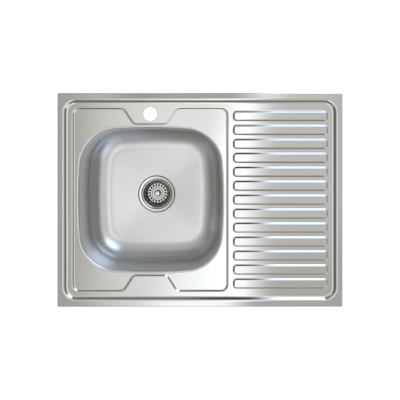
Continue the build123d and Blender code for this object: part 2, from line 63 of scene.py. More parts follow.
class Surface:
    def __init__(self):
        self.points = []
        self.count = 0
        self.faces = []

    # a row of points at one height or each at its own; gives back their numbers
    def loop(self, xy, z):
        xy = np.asarray(xy, float)
        height = np.broadcast_to(np.asarray(z, float), (len(xy),))
        self.points.append(np.column_stack([xy, height]))
        first = self.count
        self.count += len(xy)
        return np.arange(first, self.count)

    # quads from one loop out to the next; loops run anticlockwise from above, so faces look up and out
    def strip(self, inner, outer, closed=True):
        quads = np.column_stack([inner, outer, np.roll(outer, -1), np.roll(inner, -1)])
        self.faces.extend((quads if closed else quads[:-1]).tolist())

    # a strip between each loop and the next
    def strips(self, loops, closed=True):
        for inner, outer in zip(loops, loops[1:]):
            self.strip(inner, outer, closed)

    # triangles between an outer loop and the loops inside it, all on one level
    def fill(self, *loops):
        points = np.vstack(self.points)
        index = np.concatenate(loops)
        flat = points[index, :2]
        edges = []
        for loop in loops:
            first, count = len(edges), len(loop)
            edges += [(first + k, first + (k + 1) % count) for k in range(count)]
        out = delaunay_2d_cdt([tuple(p) for p in flat], edges, [], 1, 1e-9)
        source = np.array([o[0] for o in out[3]])
        tris = source[np.array(out[2])]
        # a triangle stays if a line from its middle to the right crosses the loops an odd number of times
        middle = flat[tris].mean(axis=1)
        a, b = flat[np.array(edges)[:, 0]], flat[np.array(edges)[:, 1]]
        y = middle[:, 1:2]
        spans = (a[:, 1] > y) != (b[:, 1] > y)
        rise = np.where(b[:, 1] == a[:, 1], 1, b[:, 1] - a[:, 1])
        crossing = a[:, 0] + (y - a[:, 1]) / rise * (b[:, 0] - a[:, 0])
        tris = tris[(spans & (crossing > middle[:, 0:1])).sum(axis=1) % 2 == 1]
        p = flat[tris]
        area = np.cross(p[:, 1] - p[:, 0], p[:, 2] - p[:, 0])
        tris[area < 0] = tris[area < 0][:, ::-1]
        self.faces.extend(index[tris].tolist())

    # a fan of triangles from one point to a loop
    def cap(self, loop, point):
        tip = self.loop([point[:2]], point[2])
        ring = np.column_stack([np.full(len(loop), tip[0]), loop, np.roll(loop, -1)])
        self.faces.extend(ring.tolist())

    # points closer than a thousandth of a millimetre become one
    def build(self, name):
        points = np.vstack(self.points)
        _, first, back = np.unique(np.round(points, 3), axis=0, return_index=True, return_inverse=True)
        back = back.reshape(-1)
        faces = [[int(back[k]) for k in face] for face in self.faces]
        faces = [[k for j, k in enumerate(face) if k != face[j - 1]] for face in faces]
        places = (points[first] + [0, middleY, 0]) * mm
        mesh = bpy.data.meshes.new(name)
        mesh.from_pydata(places.tolist(), [], [face for face in faces if len(face) > 2])
        mesh.validate()
        mesh.polygons.foreach_set("use_smooth", np.ones(len(mesh.polygons), bool))
        mesh.update()
        piece = bpy.data.objects.new(name, mesh)
        bpy.context.scene.collection.objects.link(piece)
        return piece


# Each vector divided by its own length
def unit(vectors):
    return vectors / np.linalg.norm(vectors, axis=-1, keepdims=True)


# A closed outline with rounded corners: its points and its outward normals, anticlockwise.
# Moving each point along its normal gives the parallel outline.
def roundedOutline(corners, radii, steps):
    corners = np.asarray(corners, float)
    arrive = unit(corners - np.roll(corners, 1, axis=0))
    leave = unit(np.roll(corners, -1, axis=0) - corners)
    turns = np.arctan2(np.cross(arrive, leave), (arrive * leave).sum(axis=1))
    places, normals = [], []
    for corner, radius, way, turn in zip(corners, radii, arrive, turns):
        outward = math.atan2(-way[0], way[1])
        if radius == 0 or abs(turn) < 1e-6:
            places.append(corner[None])
            normals.append(np.array([[math.cos(outward), math.sin(outward)]]))
            continue
        angles = outward + turn * np.linspace(0, 1, steps + 1)
        normal = np.column_stack([np.cos(angles), np.sin(angles)])
        side = math.copysign(radius, turn)
        centre = corner - way * radius * math.tan(abs(turn) / 2) - side * normal[0]
        places.append(centre + side * normal)
        normals.append(normal)
    return np.vstack(places), np.vstack(normals)


# Four corners, anticlockwise: half the length and half the width to either side of a middle
def rectangle(length, width, x=0.0, y=0.0):
    half = np.array([length / 2, width / 2])
    return np.array([[-1, -1], [1, -1], [1, 1], [-1, 1]]) * half + [x, y]


# An open line in section with rounded bends: (radius or distance, height) points
def bentLine(points, radii, steps):
    points = np.asarray(points, float)
    line = [points[:1]]
    for k, radius in enumerate(radii, 1):
        arrive, leave = unit(points[k] - points[k - 1]), unit(points[k + 1] - points[k])
        turn = math.atan2(np.cross(arrive, leave), arrive @ leave)
        if radius == 0 or abs(turn) < 1e-6:
            line.append(points[k:k + 1])
            continue
        side = math.copysign(1, turn)
        left = np.array([-arrive[1], arrive[0]]) * side
        centre = points[k] - arrive * radius * math.tan(abs(turn) / 2) + left * radius
        angles = turn * np.linspace(0, 1, steps + 1)
        spin = np.array([[np.cos(angles), -np.sin(angles)], [np.sin(angles), np.cos(angles)]])
        line.append(centre - radius * np.einsum("ijk,j->ki", spin, left))
    line.append(points[-1:])
    return np.vstack(line)


# The section of a pressed step: distance outwards from the middle of the ramp, and height,
# from the flat below (inside) to the flat above; guard is a flat strip on each side
def stepSection(run, rise, blend, guard, steps=7):
    angle = math.atan2(rise, run)
    touch = blend * math.tan(angle / 2)
    bend = np.linspace(0, angle, steps + 1)
    lowU = -run / 2 - touch + blend * np.sin(bend)
    lowZ = blend * (1 - np.cos(bend))
    u = np.concatenate([[lowU[0] - guard], lowU, -lowU[::-1], [-lowU[0] + guard]])
    z = np.concatenate([[0], lowZ, rise - lowZ[::-1], [rise]])
    return u, z


# Angles in equal steps once round, from a start angle
def fullTurn(count, start=0.0):
    return start + np.linspace(0, 2 * math.pi, count, endpoint=False)


# A turned shape: each point of the line goes round the axis as one loop
def lathe(surface, line, angles, x=bowlX, y=0.0):
    ring = np.column_stack([np.cos(angles), np.sin(angles)])
    return [surface.loop(ring * r + [x, y], z) for r, z in line]


# A flat ring with a row of round-ended holes: each sector runs from its border to the hole's edge
def holedRing(surface, innerR, outerR, z, count, circle, length, width, perSide, edge):
    half = math.pi / count
    t = np.arange(perSide) / perSide
    turn = np.concatenate([-half + 2 * half * t, np.full(perSide, half),
                           half - 2 * half * t, np.full(perSide, -half)])
    radius = np.concatenate([np.full(perSide, innerR), innerR + (outerR - innerR) * t,
                             np.full(perSide, outerR), outerR - (outerR - innerR) * t])
    border = np.column_stack([radius * np.cos(turn), radius * np.sin(turn)])
    ray = unit(border - [circle, 0])
    straight, cap = (length - width) / 2, width / 2
    side = cap / np.maximum(np.abs(ray[:, 1]), 1e-9)
    end = straight * np.abs(ray[:, 0]) + np.sqrt(np.maximum(cap ** 2 - (straight * ray[:, 1]) ** 2, 0))
    reach = np.where(side * np.abs(ray[:, 0]) <= straight, side, end)
    hole = [circle, 0] + ray * reach[:, None]
    brow = hole + ray * edge
    for k in range(count):
        c, s = math.cos(2 * half * k), math.sin(2 * half * k)
        spin = np.array([[c, s], [-s, c]])
        rows = [(hole, z - edge), (hole + ray * edge * 0.3, z - edge * 0.3), (brow, z)]
        rows += [(brow + (border - brow) * share, z) for share in (0.3, 1.0)]
        loops = [surface.loop(points @ spin + [bowlX, 0], height) for points, height in rows]
        for inner, outer in zip(loops, loops[1:]):
            # the border of a sector runs clockwise, so the order turns round
            surface.strip(outer, inner)


# Gives a sheet its thickness, on the side that its faces look away from
def solidify(piece, thickness):
    shell = piece.modifiers.new("sheet", "SOLIDIFY")
    shell.thickness = thickness * mm
    shell.offset = -1
    shell.use_even_offset = True


# Materials

# A hex colour as linear light: divided by 12.92 near black, raised to the power 2.4 above that
def linear(hexText):
    channels = [int(hexText[k:k + 2], 16) / 255 for k in (1, 3, 5)]
    return tuple(c / 12.92 if c <= 0.04045 else ((c + 0.055) / 1.055) ** 2.4 for c in channels) + (1.0,)


# Each socket takes a value, or a link from another node's output
def fillSockets(tree, node, inputs):
    for socket, value in inputs.items():
        if isinstance(value, bpy.types.NodeSocket):
            tree.links.new(value, node.inputs[socket])
        else:
            node.inputs[socket].default_value = value


# A node with its settings, values and links; gives back its first output that is in use
def addNode(tree, kind, inputs=None, **settings):
    node = tree.nodes.new("ShaderNode" + kind)
    for name, value in settings.items():
        setattr(node, name, value)
    fillSockets(tree, node, inputs or {})
    return next((output for output in node.outputs if output.enabled), None)


# A material with its node tree, its shader and the place on the object
def newMaterial(name):
    material = bpy.data.materials.new(name)
    material.use_nodes = True
    tree = material.node_tree
    place = addNode(tree, "TexCoord").node.outputs["Object"]
    return material, tree, tree.nodes["Principled BSDF"], place


# Stainless sheet, brushed along its length by a belt: fine grooves along X, a slightly streaky sheen,
# and highlights that stretch across the grooves. Real grooves are finer than these, which have to show.
brushing = dict(grooveLength=71.4, groovePitch=1.11, cloudLength=333, cloudWidth=111, roughSpread=0.02,
                bumpStrength=0.02, bumpDepth=0.05)


def brushedSteel(name, colour, dark, roughness, anisotropy):
    material, tree, shader, place = newMaterial(name)
    look = brushing
    grooves = 1 / (np.array([look["grooveLength"], look["groovePitch"], look["groovePitch"]]) * mm)
    streaks = addNode(tree, "Mapping", {"Vector": place, "Scale": grooves})
    streaks = addNode(tree, "TexNoise", {"Vector": streaks, "Scale": 1.0, "Detail": 3.0})
    drifts = 1 / (np.array([look["cloudLength"], look["cloudWidth"], look["cloudWidth"]]) * mm)
    clouds = addNode(tree, "Mapping", {"Vector": place, "Scale": drifts})
    clouds = addNode(tree, "TexNoise", {"Vector": clouds, "Scale": 1.0, "Detail": 2.0})
    tone = addNode(tree, "Mix", {"Factor": streaks, "A": linear(dark), "B": linear(colour)}, data_type="RGBA")
    rough = addNode(tree, "MapRange", {"Value": clouds, "From Min": 0.3, "From Max": 0.7,
                                       "To Min": roughness - look["roughSpread"],
                                       "To Max": roughness + look["roughSpread"]})
    bump = addNode(tree, "Bump", {"Height": streaks, "Strength": look["bumpStrength"],
                                  "Distance": look["bumpDepth"] * mm})
    fillSockets(tree, shader, {"Base Color": tone, "Roughness": rough, "Normal": bump, "Metallic": 1.0})
    if anisotropy:
        across = addNode(tree, "CombineXYZ", {"Y": 1.0})
        fillSockets(tree, shader, {"Anisotropic": anisotropy, "Tangent": across})
    return material


# Pressed and polished stainless: nearly mirror bright, with faint swirls from the polishing wheel
polish = dict(swirl=4.55, roughness=0.16, roughSpread=0.05, mottle=0.2, outward=4)


def polishedSteel(name, colour):
    material, tree, shader, place = newMaterial(name)
    swirls = addNode(tree, "TexNoise", {"Vector": place, "Scale": 1 / (polish["swirl"] * mm), "Detail": 3.0})
    rough = addNode(tree, "MapRange", {"Value": swirls, "To Min": polish["roughness"] - polish["roughSpread"],
                                       "To Max": polish["roughness"] + polish["roughSpread"]})
    fillSockets(tree, shader, {"Base Color": linear(colour), "Roughness": rough, "Metallic": 1.0})
    return material


# Pressed stainless with painted shade: near black and dull deep in the waste, where shade falls, and bright
# and polished elsewhere; the change runs from the fully shaded end to the bright end, by height or by
# distance from the waste's axis
def steelWithPaintedShade(name, colour, dark, dull, shadedDullEnd, unshadedEnd, byRadius=False):
    material, tree, shader, place = newMaterial(name)
    wasteAxis = (bowlX * mm, middleY * mm, 0)
    fromAxis = addNode(tree, "VectorMath", {0: place, 1: wasteAxis}, operation="SUBTRACT")
    x, y, z = addNode(tree, "SeparateXYZ", {0: fromAxis}).node.outputs
    flat = addNode(tree, "CombineXYZ", {0: x, 1: y})
    measure = addNode(tree, "VectorMath", {0: flat}, operation="LENGTH") if byRadius else z
    bright = addNode(tree, "MapRange", {"Value": measure, "From Min": shadedDullEnd * mm,
                                        "From Max": unshadedEnd * mm})
    # faces that look away from the axis of the waste get no painted shade and stay polished
    normal = place.node.outputs["Normal"]
    outward = addNode(tree, "VectorMath", {0: flat, 1: normal}, operation="DOT_PRODUCT")
    away = addNode(tree, "Math", {0: outward, 1: polish["outward"] * mm}, operation="GREATER_THAN")
    bright = addNode(tree, "Math", {0: bright, 1: away}, operation="MAXIMUM")
    swirls = addNode(tree, "TexNoise", {"Vector": place, "Scale": 1 / (polish["swirl"] * mm), "Detail": 3.0})
    mottle = addNode(tree, "Math", {0: swirls, 1: polish["mottle"], 2: -polish["mottle"] / 2},
                     operation="MULTIPLY_ADD")
    bright = addNode(tree, "Math", {0: bright, 1: mottle}, operation="ADD", use_clamp=True)
    tone = addNode(tree, "Mix", {"Factor": bright, "A": linear(dark), "B": linear(colour)}, data_type="RGBA")
    rough = addNode(tree, "MapRange", {"Value": bright, "To Min": dull, "To Max": polish["roughness"]})
    fillSockets(tree, shader, {"Base Color": tone, "Roughness": rough, "Metallic": 1.0})
    return material


# Moulded rubber or bitumen sheet: dull black with a fine grain that breaks up the sheen
blackFinish = dict(roughness=0.62, bumpStrength=0.5, bumpDepth=0.3)


def dullBlack(name, colour, pale, grain):
    material, tree, shader, place = newMaterial(name)
    noise = addNode(tree, "TexNoise", {"Vector": place, "Scale": 1 / (grain * mm), "Detail": 4.0})
    tone = addNode(tree, "Mix", {"Factor": noise, "A": linear(colour), "B": linear(pale)}, data_type="RGBA")
    bump = addNode(tree, "Bump", {"Height": noise, "Strength": blackFinish["bumpStrength"],
                                  "Distance": blackFinish["bumpDepth"] * mm})
    fillSockets(tree, shader, {"Base Color": tone, "Normal": bump, "Roughness": blackFinish["roughness"]})
    return material


# Moulded white plastic: even and softly glossy, with a faint unevenness from the mould
whiteFinish = dict(drift=16.7, grain=0.556, roughness=0.38, bumpStrength=0.12, bumpDepth=0.1)


def mouldedWhite(name, colour, pale):
    material, tree, shader, place = newMaterial(name)
    clouds = addNode(tree, "TexNoise", {"Vector": place, "Scale": 1 / (whiteFinish["drift"] * mm)})
    tone = addNode(tree, "Mix", {"Factor": clouds, "A": linear(colour), "B": linear(pale)}, data_type="RGBA")
    grain = addNode(tree, "TexNoise", {"Vector": place, "Scale": 1 / (whiteFinish["grain"] * mm)})
    bump = addNode(tree, "Bump", {"Height": grain, "Strength": whiteFinish["bumpStrength"],
                                  "Distance": whiteFinish["bumpDepth"] * mm})
    fillSockets(tree, shader, {"Base Color": tone, "Normal": bump, "Roughness": whiteFinish["roughness"]})
    return material


# Zinc-plated or turned metal: a satin metal with fine mottling
satinFinish = dict(roughSpread=0.08)


def satinMetal(name, colour, pale, roughness, grain):
    material, tree, shader, place = newMaterial(name)
    noise = addNode(tree, "TexNoise", {"Vector": place, "Scale": 1 / (grain * mm), "Detail": 3.0})
    tone = addNode(tree, "Mix", {"Factor": noise, "A": linear(colour), "B": linear(pale)}, data_type="RGBA")
    rough = addNode(tree, "MapRange", {"Value": noise, "To Min": roughness - satinFinish["roughSpread"],
                                       "To Max": roughness + satinFinish["roughSpread"]})
    fillSockets(tree, shader, {"Base Color": tone, "Roughness": rough, "Metallic": 1.0})
    return material


deckSteel = brushedSteel("stainless sheet brushed lengthwise", "#d2d2cf", "#cbcbc8",
                         roughness=0.10, anisotropy=0.45)
bowlSteel = brushedSteel("stainless sheet drawn and brushed", "#dbdbd9", "#d4d4d2",
                         roughness=0.33, anisotropy=0.0)
wasteSteel = polishedSteel("stainless pressed and polished", "#d6d5d1")
# painted shade: the cup's throat and floor are painted near black below the flange, for the shade down in the
# waste, and made rougher there
cupSteel = steelWithPaintedShade("stainless pressed, painted shade inside", "#d6d5d1", "#191817",
                             dull=0.4, shadedDullEnd=-152, unshadedEnd=-144.5)
# painted shade: the basket's conical wall is painted dark grey, for the shade down in the waste; the slotted
# ring and the hub stay bright
basketSteel = steelWithPaintedShade("stainless pressed, painted shade on wall", "#d0cec8", "#5c5a55",
                                dull=0.24, shadedDullEnd=33, unshadedEnd=30.5, byRadius=True)
rubber = dullBlack("rubber moulded black", "#141414", "#1e1e1d", grain=0.8)
bitumen = dullBlack("bitumen sheet rolled", "#1b1a19", "#2a2927", grain=1.6)
plastic = mouldedWhite("plastic moulded white", "#dedcd6", "#e6e4de")
zinc = satinMetal("steel zinc plated", "#a9adb0", "#bcc0c3", roughness=0.36, grain=3.0)
brass = satinMetal("brass turned", "#b08d4a", "#c29f5a", roughness=0.3, grain=2.0)
print("stage: materials")

# Deck: rim, steps, pads, skirt and lips as one sheet
deckSize = dict(length=800, width=600, sheet=0.8, skirt=32, corner=3.5, fold=3.0, foldFlat=0.45, hem=1.6,
                hemRise=12, lip=14, lipGap=2, rimSide=22, rimFront=24, rimSlope=0.8, rimDrop=6.5, rimRun=6.1,
                rimBlend=8, rimGuard=1.2, rimStrip=0.5, rimCorner=31, fieldLength=434, fieldWidth=513,
                fieldDrop=3.5, fieldRun=3.3, fieldBlend=4.5, fieldGuard=0.4, fieldCorner=18, notchMouth=150,
                notchFloor=94, notchDepth=43.5, notchMouthBlend=20, notchFloorBlend=16, padCount=13,
                padPitch=39.2, padLength=262, padWidth=24.6, padLeft=95, padCorner=8, padHeight=3.3,
                padRun=3.8, padBlend=4, padGuard=0.8, tapY=241, tapRadius=18.7, tapFlat=0.4, weldFlat=0.3)
bowlSize = dict(size=403, sideRadius=1313, cornerRadius=102, depth=156, draft=0, rimBlend=6, floorBlend=55.5,
                weld=1, dishDrop=7.0, dishShare=0.965, dishRounding=0.08, recessRadius=58.5, recessDepth=4,
                recessFlat=3, upperBlend=2.7, lowerBlend=2, hole=45)
rimZ = deckSize["skirt"]
deckZ = rimZ - deckSize["rimDrop"]
fieldZ = deckZ - deckSize["fieldDrop"]
floorZ = fieldZ - bowlSize["depth"]


# The bowl's outline: side arcs and corner arcs, by the direction of the outward normal; the middle of a
# corner arc lies on the diagonal, where the arc touches both sides
def bowlOutline(sideSteps=20, cornerSteps=28):
    half, side, corner = bowlSize["size"] / 2, bowlSize["sideRadius"], bowlSize["cornerRadius"]
    gap = side - half
    centre = (math.sqrt(2 * (side - corner) ** 2 - gap ** 2) - gap) / 2
    spread = math.atan2(centre, centre + gap)
    places, normals = [], []
    for quarter in range(4):
        base = quarter * math.pi / 2
        angles = base + np.linspace(-spread, spread, sideSteps, endpoint=False)
        normal = np.column_stack([np.cos(angles), np.sin(angles)])
        places.append(side * normal - gap * np.array([math.cos(base), math.sin(base)]))
        normals.append(normal)
        angles = base + np.linspace(spread, math.pi / 2 - spread, cornerSteps, endpoint=False)
        normal = np.column_stack([np.cos(angles), np.sin(angles)])
        diagonal = base + math.pi / 4
        middle = centre * math.sqrt(2) * np.array([math.cos(diagonal), math.sin(diagonal)])
        places.append(corner * normal + middle)
        normals.append(normal)
    return np.vstack(places) + [bowlX, 0], np.vstack(normals)


bowlPlaces, bowlNormals = bowlOutline()
steep = math.radians(90 - bowlSize["draft"])
rimTouch = bowlSize["rimBlend"] * math.tan(steep / 2)
weldReach = rimTouch + bowlSize["weld"]

size = deckSize
deck = Surface()

# skirt: from the rim's flat over the fold, down the skirt and round the hem
halfL, halfW = size["length"] / 2, size["width"] / 2
lipEnd = np.array([halfL, halfW]) - size["lip"] - size["lipGap"]
frontRight = [(-lipEnd[0], -halfW), (lipEnd[0], -halfW), (halfL, -halfW),
              (halfL, -lipEnd[1]), (halfL, lipEnd[1]), (halfL, halfW)]
outlineCorners = np.array(frontRight + [(-x, -y) for x, y in frontRight])
outlineRadii = [0, 0, size["corner"]] * 4
outline, outlineNormals = roundedOutline(outlineCorners, outlineRadii, steps=8)
rimU, rimStepZ = stepSection(size["rimRun"], size["rimDrop"], size["rimBlend"], size["rimGuard"])
slope = size["rimSlope"] / (size["rimSide"] - rimU[-1] - size["fold"])
foldZ = rimZ - size["rimSlope"]
bend = np.linspace(0, math.pi / 2, 9)
skirtU = np.concatenate([[-size["fold"] - size["foldFlat"]], size["fold"] * (np.sin(bend) - 1), [0],
                         size["hem"] * (np.cos(bend) - 1)])
skirtZ = np.concatenate([[foldZ + size["foldFlat"] * slope], foldZ - size["fold"] * (1 - np.cos(bend)),
                         [size["hem"] + size["hemRise"]], size["hem"] * (1 - np.sin(bend))])
skirtLoops = [deck.loop(outline + outlineNormals * u, z) for u, z in zip(skirtU, skirtZ)]
deck.strips(skirtLoops)
lipMarks = np.flatnonzero(np.isclose(np.abs(outline), lipEnd, atol=1e-6).any(axis=1))
for ends in lipMarks.reshape(4, 2):
    # a return lip along each side, between the two points that mark its ends
    inner = deck.loop(outline[ends] - outlineNormals[ends] * size["lip"], 0)
    deck.strip(skirtLoops[-1][ends], inner, closed=False)

# rim step: from the deck up to the rim
rimShape = rectangle(size["length"] - 2 * size["rimSide"], size["width"] - 2 * size["rimFront"])
rimOutline, rimNormals = roundedOutline(rimShape, [size["rimCorner"]] * 4, steps=24)
rimLoops = [deck.loop(rimOutline + rimNormals * u, deckZ + z) for u, z in zip(rimU, rimStepZ)]
# the rim falls outwards from here; the strip keeps the slope's own normals in its middle
stripU, stripZ = rimU[-1] + size["rimStrip"], rimZ - size["rimStrip"] * slope
rimLoops.append(deck.loop(rimOutline + rimNormals * stripU, stripZ))
deck.strips(rimLoops)
deck.fill(skirtLoops[0], rimLoops[-1])

# field step: from the field round the bowl up to the deck, with a notch in front and one behind
halfF, halfV = size["fieldLength"] / 2, size["fieldWidth"] / 2
mouth, notch, notchY = size["notchMouth"] / 2, size["notchFloor"] / 2, size["notchDepth"] - halfV
front = [(-halfF, -halfV), (-mouth, -halfV), (-notch, notchY),
         (notch, notchY), (mouth, -halfV), (halfF, -halfV)]
fieldCorners = np.array(front + [(-x, -y) for x, y in front]) + [bowlX, 0]
fieldRadii = [size["fieldCorner"], size["notchMouthBlend"], size["notchFloorBlend"]]
fieldOutline, fieldNormals = roundedOutline(fieldCorners, (fieldRadii + fieldRadii[::-1]) * 2, steps=16)
fieldU, fieldStepZ = stepSection(size["fieldRun"], size["fieldDrop"], size["fieldBlend"], size["fieldGuard"])
fieldLoops = [deck.loop(fieldOutline + fieldNormals * u, fieldZ + z) for u, z in zip(fieldU, fieldStepZ)]
deck.strips(fieldLoops)
weldU = (weldReach, weldReach + size["weldFlat"])
weldLoops = [deck.loop(bowlPlaces + bowlNormals * u, fieldZ) for u in weldU]
deck.strips(weldLoops)
deck.fill(fieldLoops[0], weldLoops[-1])

# pads: each one a step up from the deck, inwards
padU, padStepZ = stepSection(size["padRun"], size["padHeight"], size["padBlend"], size["padGuard"])
padX = size["padLeft"] + size["padLength"] / 2
padFeet = []
for row in range(size["padCount"]):
    padY = (row - (size["padCount"] - 1) / 2) * size["padPitch"]
    padShape = rectangle(size["padLength"], size["padWidth"], padX, padY)
    padOutline, padNormals = roundedOutline(padShape, [size["padCorner"]] * 4, steps=12)
    padLoops = [deck.loop(padOutline - padNormals * u, deckZ + z) for u, z in zip(padU, padStepZ)]
    deck.strips(padLoops[::-1])
    deck.fill(padLoops[-1])
    padFeet.append(padLoops[0])

# tap hole
tapLine = [(size["tapRadius"], deckZ), (size["tapRadius"] + size["tapFlat"], deckZ)]
tapLoops = lathe(deck, tapLine, fullTurn(96), bowlX, size["tapY"])
deck.strips(tapLoops)
deck.fill(rimLoops[0], fieldLoops[-1], tapLoops[-1], *padFeet)

deckPiece = deck.build("deckSheet")
solidify(deckPiece, size["sheet"])
deckPiece.data.materials.append(deckSteel)
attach(deckPiece, "sink")
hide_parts("deck")
print("stage: deck", len(deckPiece.data.polygons))

# Bowl: the rounded rim, the upright wall, the floor's blend, the falling floor and the round recess
size = bowlSize
bowl = Surface()
rimBend, floorBend = np.linspace(0, steep, 13), np.linspace(steep, 0, 25)
floorU = -(size["depth"] * math.tan(math.radians(size["draft"])) + size["floorBlend"] * math.tan(steep / 2))
wallU = np.concatenate([[weldReach], rimTouch - size["rimBlend"] * np.sin(rimBend),
                        floorU + size["floorBlend"] * np.sin(floorBend)])
wallZ = np.concatenate([[0], -size["rimBlend"] * (1 - np.cos(rimBend)),
                        -size["depth"] + size["floorBlend"] * (1 - np.cos(floorBend))]) + fieldZ
bowlLoops = [bowl.loop(bowlPlaces + bowlNormals * u, z) for u, z in zip(wallU, wallZ)]
floorEdge = bowlPlaces + bowlNormals * floorU - [bowlX, 0]
edgeAngles = np.arctan2(floorEdge[:, 1], floorEdge[:, 0])
recessEdge = size["recessRadius"] + size["recessFlat"]
recessZ = floorZ - size["dishDrop"] - size["recessDepth"]


# the floor falls evenly from its square edge to the round recess, after a short rounding; t goes from 0 to 1
def dishHeight(t):
    rounding = bowlSize["dishRounding"]
    fall = np.where(t < rounding, t ** 2 / (2 * rounding), t - rounding / 2) / (1 - rounding / 2)
    return floorZ - bowlSize["dishDrop"] * bowlSize["dishShare"] * fall


rounding = size["dishRounding"]
dishT = np.concatenate([np.linspace(0, rounding, 5)[1:], np.linspace(2 * rounding, 1, 10)])
dishRings = [floorEdge * (1 - t) + recessEdge * unit(floorEdge) * t + [bowlX, 0] for t in dishT[:-1]]
bowlLoops += [bowl.loop(ring, z) for ring, z in zip(dishRings, dishHeight(dishT[:-1]))]
recess = bentLine([(recessEdge, float(dishHeight(np.array(1.0)))),
                   (size["recessRadius"], floorZ - size["dishDrop"]),
                   (size["recessRadius"], recessZ), (size["hole"], recessZ)],
                  [size["upperBlend"], size["lowerBlend"]], steps=7)
bowlLoops += lathe(bowl, recess, edgeAngles)
bowl.strips(bowlLoops[::-1])
bowlPiece = bowl.build("bowlSheet")
solidify(bowlPiece, deckSize["sheet"])
bowlPiece.data.materials.append(bowlSteel)
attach(bowlPiece, "sink")
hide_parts("bowl", "waste_seat")
print("stage: bowl", len(bowlPiece.data.polygons))

# Sound pads: two sheets of bitumen stuck to the underside of the floor, whose height they follow
patchSize = dict(inner=68, outer=149, length=200, thickness=3, glue=0.05, columns=25, rows=41)
size = patchSize
order = np.argsort(edgeAngles)
edgeReach = np.linalg.norm(floorEdge, axis=1)
for node, way in (("sound_pad_left", -1), ("sound_pad_right", 1)):
    acrossPad = way * np.linspace(size["inner"], size["outer"], size["columns"])[::way]
    alongPad = np.linspace(-size["length"] / 2, size["length"] / 2, size["rows"])
    gridX, gridY = np.meshgrid(acrossPad, alongPad)
    far = np.interp(np.arctan2(gridY, gridX), edgeAngles[order], edgeReach[order], period=2 * math.pi)
    t = np.clip((far - np.hypot(gridX, gridY)) / (far - recessEdge), 0, 1)
    gridZ = dishHeight(t) - deckSize["sheet"] - size["glue"]
    patch = Surface()
    rows = [patch.loop(np.column_stack([x + bowlX, y]), z) for x, y, z in zip(gridX, gridY, gridZ)]
    patch.strips(rows[::-1], closed=False)
    patchPiece = patch.build(node + "Sheet")
    solidify(patchPiece, size["thickness"])
    patchPiece.data.materials.append(bitumen)
    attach(patchPiece, "sink")
    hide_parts(node)
print("stage: sound pads")

# Waste cup: flange, throat and floor with windows
cupSize = dict(seal=2.0, sheet=0.8, flangeRadius=56, flangeEdge=0.5, flangeBevel=0.15, flangeBlend=0.14,
               flangeFall=2.0, throat=41, throatBlend=8, depth=36, floorBlend=5, windows=6, windowCircle=14,
               windowRadius=3.4, windowEdge=0.25, ringInner=9.5, ringOuter=20, hole=5.05)
slotCount = 18  # the basket's slots, on whose sectors the points of cup and basket lie
size = cupSize
flangeZ = recessZ + size["seal"] + size["sheet"]
cupFloorZ = flangeZ - size["depth"]
wasteAngles = fullTurn(144, -math.pi / slotCount)
cup = Surface()
cupLine = bentLine([(size["flangeRadius"], flangeZ - size["flangeEdge"]),
                    (size["flangeRadius"] - size["flangeBevel"], flangeZ),
                    (size["throat"], flangeZ - size["flangeFall"]),
                    (size["throat"], cupFloorZ), (size["ringOuter"], cupFloorZ)],
                   [size["flangeBlend"], size["throatBlend"], size["floorBlend"]], steps=10)
cup.strips(lathe(cup, cupLine, wasteAngles)[::-1])
windowWidth = 2 * size["windowRadius"]
holedRing(cup, size["ringInner"], size["ringOuter"], cupFloorZ, size["windows"], size["windowCircle"],
          windowWidth, windowWidth, perSide=24, edge=size["windowEdge"])
holeLine = [(size["hole"], cupFloorZ), (size["ringInner"], cupFloorZ)]
cup.strips(lathe(cup, holeLine, fullTurn(144, -math.pi / size["windows"])))
cupPiece = cup.build("wasteCupShell")
solidify(cupPiece, size["sheet"])
cupPiece.data.materials.append(cupSteel)
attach(cupPiece, "sink")
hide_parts("waste_cup")

# Basket: rolled rim, conical wall, slotted ring and raised hub
basketSize = dict(rim=39.7, rimWidth=1.5, rimBlend=0.9, height=23, ring=32.6, ringBlend=1.9, ringOuter=30.6,
                  ringInner=20.8, hub=18.5, hubTaper=1.5, hubHeight=3, hubBlend=1.2, sheet=0.7,
                  slotCircle=26.3, slotLength=8.2, slotWidth=5.6, slotEdge=0.1, hole=3.05)
# what lies between the cup's floor and the basket
seatStack = dict(screwWasher=1.0, screwHead=2.5, headroom=1.2, stopperWeb=3.0, stopperWasher=1.2)
size = basketSize
hubZ = cupFloorZ + sum(seatStack.values()) + size["sheet"]
ringZ = hubZ - size["hubHeight"]
basketRimZ = ringZ + size["height"]
basket = Surface()
wallLine = bentLine([(size["rim"], basketRimZ), (size["rim"] - size["rimWidth"], basketRimZ),
                     (size["ring"], ringZ), (size["ringOuter"], ringZ)],
                    [size["rimBlend"], size["ringBlend"]], steps=8)
basket.strips(lathe(basket, wallLine, wasteAngles)[::-1])
holedRing(basket, size["ringInner"], size["ringOuter"], ringZ, slotCount, size["slotCircle"],
          size["slotLength"], size["slotWidth"], perSide=8, edge=size["slotEdge"])
hubLine = bentLine([(size["ringInner"], ringZ), (size["hub"], ringZ), (size["hub"] - size["hubTaper"], hubZ),
                    (size["hole"], hubZ)], [size["hubBlend"]] * 2, steps=8)
basket.strips(lathe(basket, hubLine, wasteAngles)[::-1])
basketPiece = basket.build("basketShell")
solidify(basketPiece, size["sheet"])
basketPiece.data.materials.append(basketSteel)
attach(basketPiece, "basket")
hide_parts("basket")

